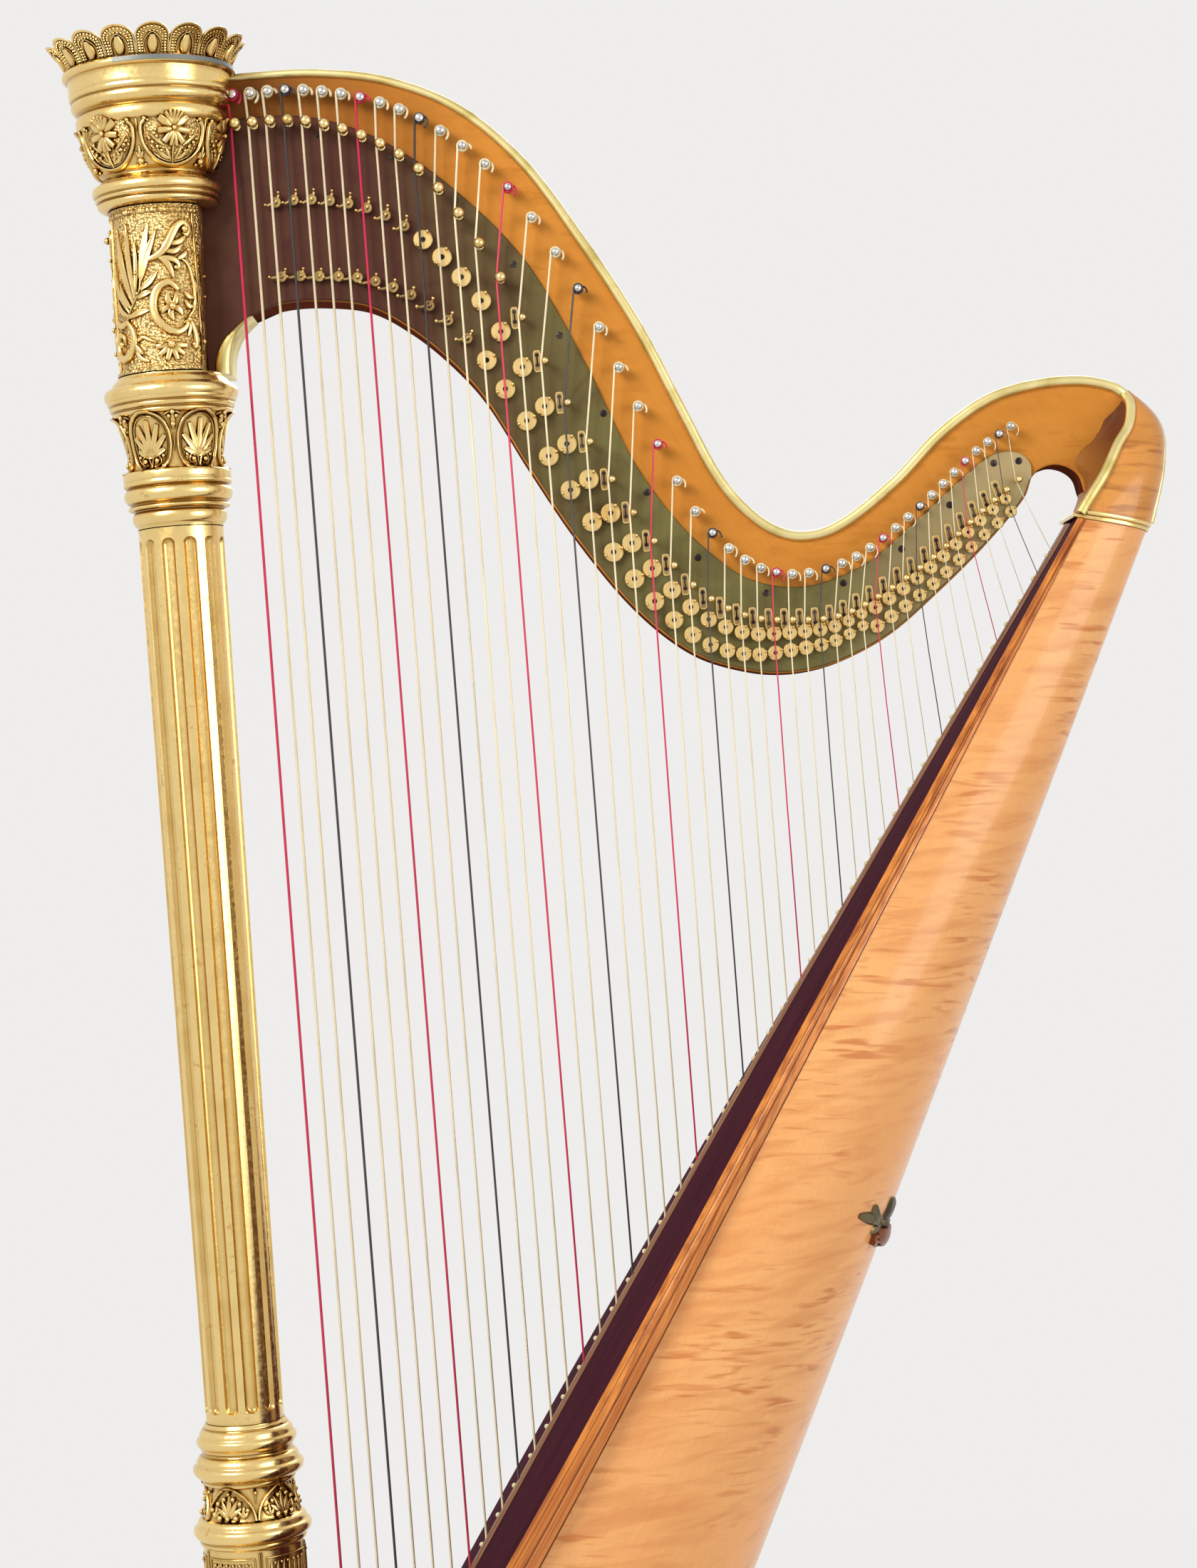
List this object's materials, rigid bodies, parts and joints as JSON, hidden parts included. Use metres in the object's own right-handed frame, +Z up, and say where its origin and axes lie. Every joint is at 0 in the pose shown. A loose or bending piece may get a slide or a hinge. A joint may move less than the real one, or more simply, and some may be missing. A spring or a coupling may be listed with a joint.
{
  "type": "concert pedal harp",
  "caption": "Upright concert harp with a fluted gilded column and carved crown, bellied soundboard, fork discs under the curved neck and foot pedals that turn them.",
  "frame": {"origin": "middle of the harp's bounding box at floor level, under its feet", "axes": "+Z up; +X from the column towards the player; the strings lie in the plane Y = 0; -Y is the player's left and the side of the discs"},
  "size_m": [0.9712, 0.4108, 1.83],
  "materials": {
    "gilded_wood": "burnished gold leaf over carved wood",
    "neck_maple": "stained maple, glossy varnish",
    "flamed_maple": "flamed maple veneer, glossy varnish",
    "edge_maple": "banded edging, glossy varnish",
    "soundboard_spruce": "stained spruce, satin",
    "strings_and_rib": "gut, wound wire and a maple centre strip",
    "inner_wood": "plain wood",
    "plate_brass": "engraved brass with patina",
    "disc_brass": "polished brass",
    "pedal_brass": "cast brass, worn",
    "dark_bronze": "dark cast bronze",
    "steel": "plain steel"
  },
  "bodies": {
    "frame": {"action_plate_left": "plate_brass", "action_plate_right": "plate_brass", "base_cover": "inner_wood", "base_frame": "gilded_wood", "body_shell": "flamed_maple", "bottom_block": "inner_wood", "capital_drum": "gilded_wood", "capital_lower": "gilded_wood", "column_foot": "gilded_wood", "column_shaft": "gilded_wood", "crown_bowl": "gilded_wood", "crown_leaves": "gilded_wood", "foot_front_left": "gilded_wood", "foot_front_right": "gilded_wood", "foot_rear_left": "gilded_wood", "foot_rear_right": "gilded_wood", "knee_band": "gilded_wood", "leaf_mount": "dark_bronze", "neck": "neck_maple", "pedal_axle": "steel", "shell_brace_1": "inner_wood", "shell_brace_2": "inner_wood", "shell_brace_3": "inner_wood", "side_moulding_left": "edge_maple", "side_moulding_right": "edge_maple", "soundboard": "soundboard_spruce", "strings_and_rib": "strings_and_rib", "top_block": "inner_wood"},
    "pedal_d": {"pedal_d": "pedal_brass"},
    "rod_d": {"rod_d": "steel"},
    "upper_disc_d": {"upper_disc_d": "disc_brass"},
    "lower_disc_d": {"lower_disc_d": "disc_brass"},
    "pedal_c": {"pedal_c": "pedal_brass"},
    "rod_c": {"rod_c": "steel"},
    "upper_disc_c": {"upper_disc_c": "disc_brass"},
    "lower_disc_c": {"lower_disc_c": "disc_brass"},
    "pedal_b": {"pedal_b": "pedal_brass"},
    "rod_b": {"rod_b": "steel"},
    "upper_disc_b": {"upper_disc_b": "disc_brass"},
    "lower_disc_b": {"lower_disc_b": "disc_brass"},
    "pedal_e": {"pedal_e": "pedal_brass"},
    "rod_e": {"rod_e": "steel"},
    "upper_disc_e": {"upper_disc_e": "disc_brass"},
    "lower_disc_e": {"lower_disc_e": "disc_brass"},
    "pedal_f": {"pedal_f": "pedal_brass"},
    "rod_f": {"rod_f": "steel"},
    "upper_disc_f": {"upper_disc_f": "disc_brass"},
    "lower_disc_f": {"lower_disc_f": "disc_brass"},
    "pedal_g": {"pedal_g": "pedal_brass"},
    "rod_g": {"rod_g": "steel"},
    "upper_disc_g": {"upper_disc_g": "disc_brass"},
    "lower_disc_g": {"lower_disc_g": "disc_brass"},
    "pedal_a": {"pedal_a": "pedal_brass"},
    "rod_a": {"rod_a": "steel"},
    "upper_disc_a": {"upper_disc_a": "disc_brass"},
    "lower_disc_a": {"lower_disc_a": "disc_brass"}
  },
  "joints": [
    {"name": "pedal_d_hinge", "type": "hinge", "parent": "frame", "child": "pedal_d", "pos_m": [-0.29562, 0, 0.125], "axis": [0, 1, 0], "range_deg": [0, 9], "stiffness_Nm_per_rad": 40, "springref_deg": -2.86},
    {"name": "rod_d_slide", "type": "slide", "parent": "frame", "child": "rod_d", "axis": [0, 0, 1], "range_m": [0, 0.016]},
    {"name": "upper_disc_d_hinge", "type": "hinge", "parent": "frame", "child": "upper_disc_d", "pos_m": [-0.0817, 0, 1.52309], "axis": [0, -1, 0], "range_deg": [0, 20]},
    {"name": "lower_disc_d_hinge", "type": "hinge", "parent": "frame", "child": "lower_disc_d", "pos_m": [-0.08134, 0, 1.47499], "axis": [0, -1, 0], "range_deg": [0, 50]},
    {"name": "pedal_c_hinge", "type": "hinge", "parent": "frame", "child": "pedal_c", "pos_m": [-0.29562, 0, 0.125], "axis": [0, 1, 0], "range_deg": [0, 9], "stiffness_Nm_per_rad": 40, "springref_deg": -2.86},
    {"name": "rod_c_slide", "type": "slide", "parent": "frame", "child": "rod_c", "axis": [0, 0, 1], "range_m": [0, 0.016]},
    {"name": "upper_disc_c_hinge", "type": "hinge", "parent": "frame", "child": "upper_disc_c", "pos_m": [-0.09876, 0, 1.55606], "axis": [0, -1, 0], "range_deg": [0, 20]},
    {"name": "lower_disc_c_hinge", "type": "hinge", "parent": "frame", "child": "lower_disc_c", "pos_m": [-0.09836, 0, 1.50471], "axis": [0, -1, 0], "range_deg": [0, 50]},
    {"name": "pedal_b_hinge", "type": "hinge", "parent": "frame", "child": "pedal_b", "pos_m": [-0.29562, 0, 0.125], "axis": [0, 1, 0], "range_deg": [0, 9], "stiffness_Nm_per_rad": 40, "springref_deg": -2.86},
    {"name": "rod_b_slide", "type": "slide", "parent": "frame", "child": "rod_b", "axis": [0, 0, 1], "range_m": [0, 0.016]},
    {"name": "upper_disc_b_hinge", "type": "hinge", "parent": "frame", "child": "upper_disc_b", "pos_m": [0.00444, 0, 1.35937], "axis": [0, -1, 0], "range_deg": [0, 20]},
    {"name": "lower_disc_b_hinge", "type": "hinge", "parent": "frame", "child": "lower_disc_b", "pos_m": [0.00452, 0, 1.32735], "axis": [0, -1, 0], "range_deg": [0, 50]},
    {"name": "pedal_e_hinge", "type": "hinge", "parent": "frame", "child": "pedal_e", "pos_m": [-0.29562, 0, 0.125], "axis": [0, 1, 0], "range_deg": [0, 9], "stiffness_Nm_per_rad": 40, "springref_deg": -2.86},
    {"name": "rod_e_slide", "type": "slide", "parent": "frame", "child": "rod_e", "axis": [0, 0, 1], "range_m": [0, 0.016]},
    {"name": "upper_disc_e_hinge", "type": "hinge", "parent": "frame", "child": "upper_disc_e", "pos_m": [-0.06439, 0, 1.48679], "axis": [0, -1, 0], "range_deg": [0, 20]},
    {"name": "lower_disc_e_hinge", "type": "hinge", "parent": "frame", "child": "lower_disc_e", "pos_m": [-0.06409, 0, 1.44212], "axis": [0, -1, 0], "range_deg": [0, 50]},
    {"name": "pedal_f_hinge", "type": "hinge", "parent": "frame", "child": "pedal_f", "pos_m": [-0.29562, 0, 0.125], "axis": [0, 1, 0], "range_deg": [0, 9], "stiffness_Nm_per_rad": 40, "springref_deg": -2.86},
    {"name": "rod_f_slide", "type": "slide", "parent": "frame", "child": "rod_f", "axis": [0, 0, 1], "range_m": [0, 0.016]},
    {"name": "upper_disc_f_hinge", "type": "hinge", "parent": "frame", "child": "upper_disc_f", "pos_m": [-0.0471, 0, 1.45182], "axis": [0, -1, 0], "range_deg": [0, 20]},
    {"name": "lower_disc_f_hinge", "type": "hinge", "parent": "frame", "child": "lower_disc_f", "pos_m": [-0.04685, 0, 1.4105], "axis": [0, -1, 0], "range_deg": [0, 50]},
    {"name": "pedal_g_hinge", "type": "hinge", "parent": "frame", "child": "pedal_g", "pos_m": [-0.29562, 0, 0.125], "axis": [0, 1, 0], "range_deg": [0, 9], "stiffness_Nm_per_rad": 40, "springref_deg": -2.86},
    {"name": "rod_g_slide", "type": "slide", "parent": "frame", "child": "rod_g", "axis": [0, 0, 1], "range_m": [0, 0.016]},
    {"name": "upper_disc_g_hinge", "type": "hinge", "parent": "frame", "child": "upper_disc_g", "pos_m": [-0.0298, 0, 1.41896], "axis": [0, -1, 0], "range_deg": [0, 20]},
    {"name": "lower_disc_g_hinge", "type": "hinge", "parent": "frame", "child": "lower_disc_g", "pos_m": [-0.02961, 0, 1.38086], "axis": [0, -1, 0], "range_deg": [0, 50]},
    {"name": "pedal_a_hinge", "type": "hinge", "parent": "frame", "child": "pedal_a", "pos_m": [-0.29562, 0, 0.125], "axis": [0, 1, 0], "range_deg": [0, 9], "stiffness_Nm_per_rad": 40, "springref_deg": -2.86},
    {"name": "rod_a_slide", "type": "slide", "parent": "frame", "child": "rod_a", "axis": [0, 0, 1], "range_m": [0, 0.016]},
    {"name": "upper_disc_a_hinge", "type": "hinge", "parent": "frame", "child": "upper_disc_a", "pos_m": [-0.01251, 0, 1.38739], "axis": [0, -1, 0], "range_deg": [0, 20]},
    {"name": "lower_disc_a_hinge", "type": "hinge", "parent": "frame", "child": "lower_disc_a", "pos_m": [-0.01238, 0, 1.35244], "axis": [0, -1, 0], "range_deg": [0, 50]}
  ],
  "couplings": [
    {"joint": "rod_d_slide", "follows": "pedal_d_hinge", "m_per_rad": 0.1},
    {"joint": "upper_disc_d_hinge", "follows": "pedal_d_hinge", "ratio": 2.1111},
    {"joint": "lower_disc_d_hinge", "follows": "pedal_d_hinge", "ratio": 5.4444},
    {"joint": "rod_c_slide", "follows": "pedal_c_hinge", "m_per_rad": 0.1},
    {"joint": "upper_disc_c_hinge", "follows": "pedal_c_hinge", "ratio": 2.1111},
    {"joint": "lower_disc_c_hinge", "follows": "pedal_c_hinge", "ratio": 5.4444},
    {"joint": "rod_b_slide", "follows": "pedal_b_hinge", "m_per_rad": 0.1},
    {"joint": "upper_disc_b_hinge", "follows": "pedal_b_hinge", "ratio": 2.1111},
    {"joint": "lower_disc_b_hinge", "follows": "pedal_b_hinge", "ratio": 5.4444},
    {"joint": "rod_e_slide", "follows": "pedal_e_hinge", "m_per_rad": 0.1},
    {"joint": "upper_disc_e_hinge", "follows": "pedal_e_hinge", "ratio": 2.1111},
    {"joint": "lower_disc_e_hinge", "follows": "pedal_e_hinge", "ratio": 5.4444},
    {"joint": "rod_f_slide", "follows": "pedal_f_hinge", "m_per_rad": 0.1},
    {"joint": "upper_disc_f_hinge", "follows": "pedal_f_hinge", "ratio": 2.1111},
    {"joint": "lower_disc_f_hinge", "follows": "pedal_f_hinge", "ratio": 5.4444},
    {"joint": "rod_g_slide", "follows": "pedal_g_hinge", "m_per_rad": 0.1},
    {"joint": "upper_disc_g_hinge", "follows": "pedal_g_hinge", "ratio": 2.1111},
    {"joint": "lower_disc_g_hinge", "follows": "pedal_g_hinge", "ratio": 5.4444},
    {"joint": "rod_a_slide", "follows": "pedal_a_hinge", "m_per_rad": 0.1},
    {"joint": "upper_disc_a_hinge", "follows": "pedal_a_hinge", "ratio": 2.1111},
    {"joint": "lower_disc_a_hinge", "follows": "pedal_a_hinge", "ratio": 5.4444}
  ]
}
